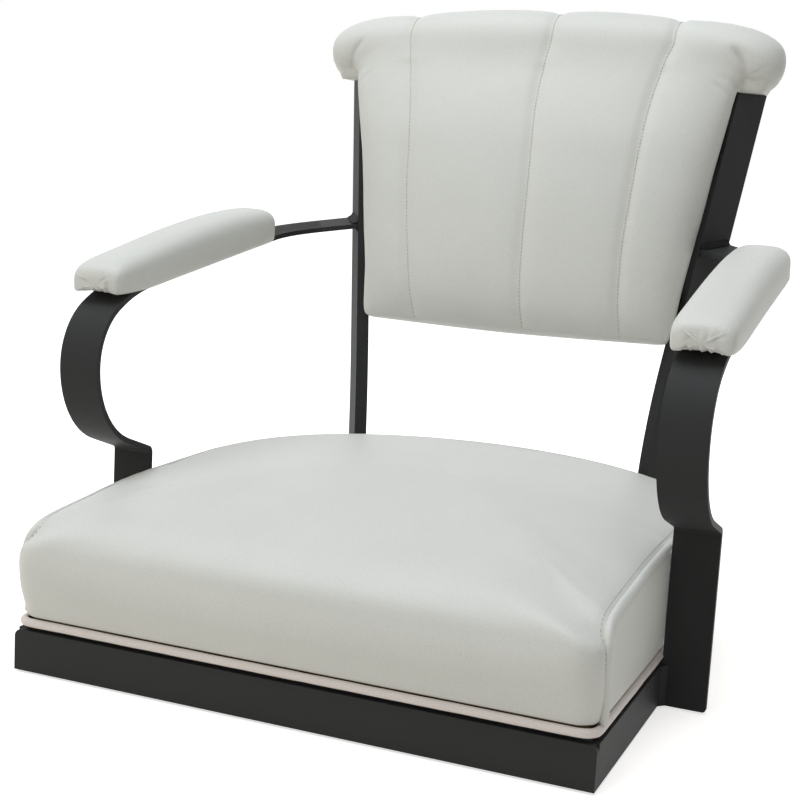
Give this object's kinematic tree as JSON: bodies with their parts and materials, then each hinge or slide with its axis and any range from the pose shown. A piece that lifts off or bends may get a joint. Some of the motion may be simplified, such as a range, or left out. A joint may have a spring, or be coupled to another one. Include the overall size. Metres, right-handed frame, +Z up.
{
  "type": "swivel stool head",
  "caption": "Upholstered swivel stool head: crowned D-shaped seat in a steel skirt, channelled back with a rolled top, and padded scroll arms.",
  "frame": {"origin": "centre of the four mounting holes, on the swivel axis, at the underside of the lower swivel plate", "axes": "+Z up along the swivel axis; the seated person faces -Y; +X is on the right when looking at the front of the seat"},
  "size_m": [0.5908, 0.6023, 0.588],
  "materials": {
    "powder_coat": "charcoal fine-textured powder coat, soft sheen",
    "zinc_steel": "bright zinc plate",
    "ball_steel": "polished bearing steel",
    "brass": "plain stamped brass",
    "upholstery": "off-white fine-grain cover, satin",
    "welt": "off-white fine-grain piping, satin",
    "plywood": "raw plywood",
    "lining": "black non-woven cloth"
  },
  "bodies": {
    "swivel_base": {"swivel_lower_plate": "zinc_steel", "swivel_lower_race": "zinc_steel", "swivel_balls": "ball_steel", "ball_cage": "brass", "pivot_bolt": "zinc_steel", "pivot_washer": "zinc_steel", "pivot_nut": "zinc_steel"},
    "seat_head": {"front_rail": "powder_coat", "seat_hoop": "powder_coat", "swivel_strap_front": "powder_coat", "swivel_strap_rear": "powder_coat", "seat_tabs": "powder_coat", "seat_screws": "zinc_steel", "arm_ribbon_left": "powder_coat", "arm_ribbon_right": "powder_coat", "arm_board_left": "plywood", "arm_board_right": "plywood", "arm_screws": "zinc_steel", "arm_pad_left": "upholstery", "arm_pad_right": "upholstery", "back_upright_left": "powder_coat", "back_upright_right": "powder_coat", "back_crossbar_lower": "powder_coat", "back_crossbar_upper": "powder_coat", "back_screws": "zinc_steel", "back_board": "plywood", "back_rear_cover": "upholstery", "back_cushion": "upholstery", "back_roll": "upholstery", "seat_board": "plywood", "seat_cushion": "upholstery", "seat_base_welt": "welt", "seat_top_welt": "welt", "dust_cover": "lining", "swivel_upper_plate": "zinc_steel", "swivel_upper_race": "zinc_steel", "swivel_bolts": "zinc_steel", "swivel_nuts": "zinc_steel"}
  },
  "joints": [
    {"name": "seat_swivel", "type": "hinge", "parent": "swivel_base", "child": "seat_head", "pos_m": [0, 0, 0], "axis": [0, 0, 1], "continuous": true}
  ]
}
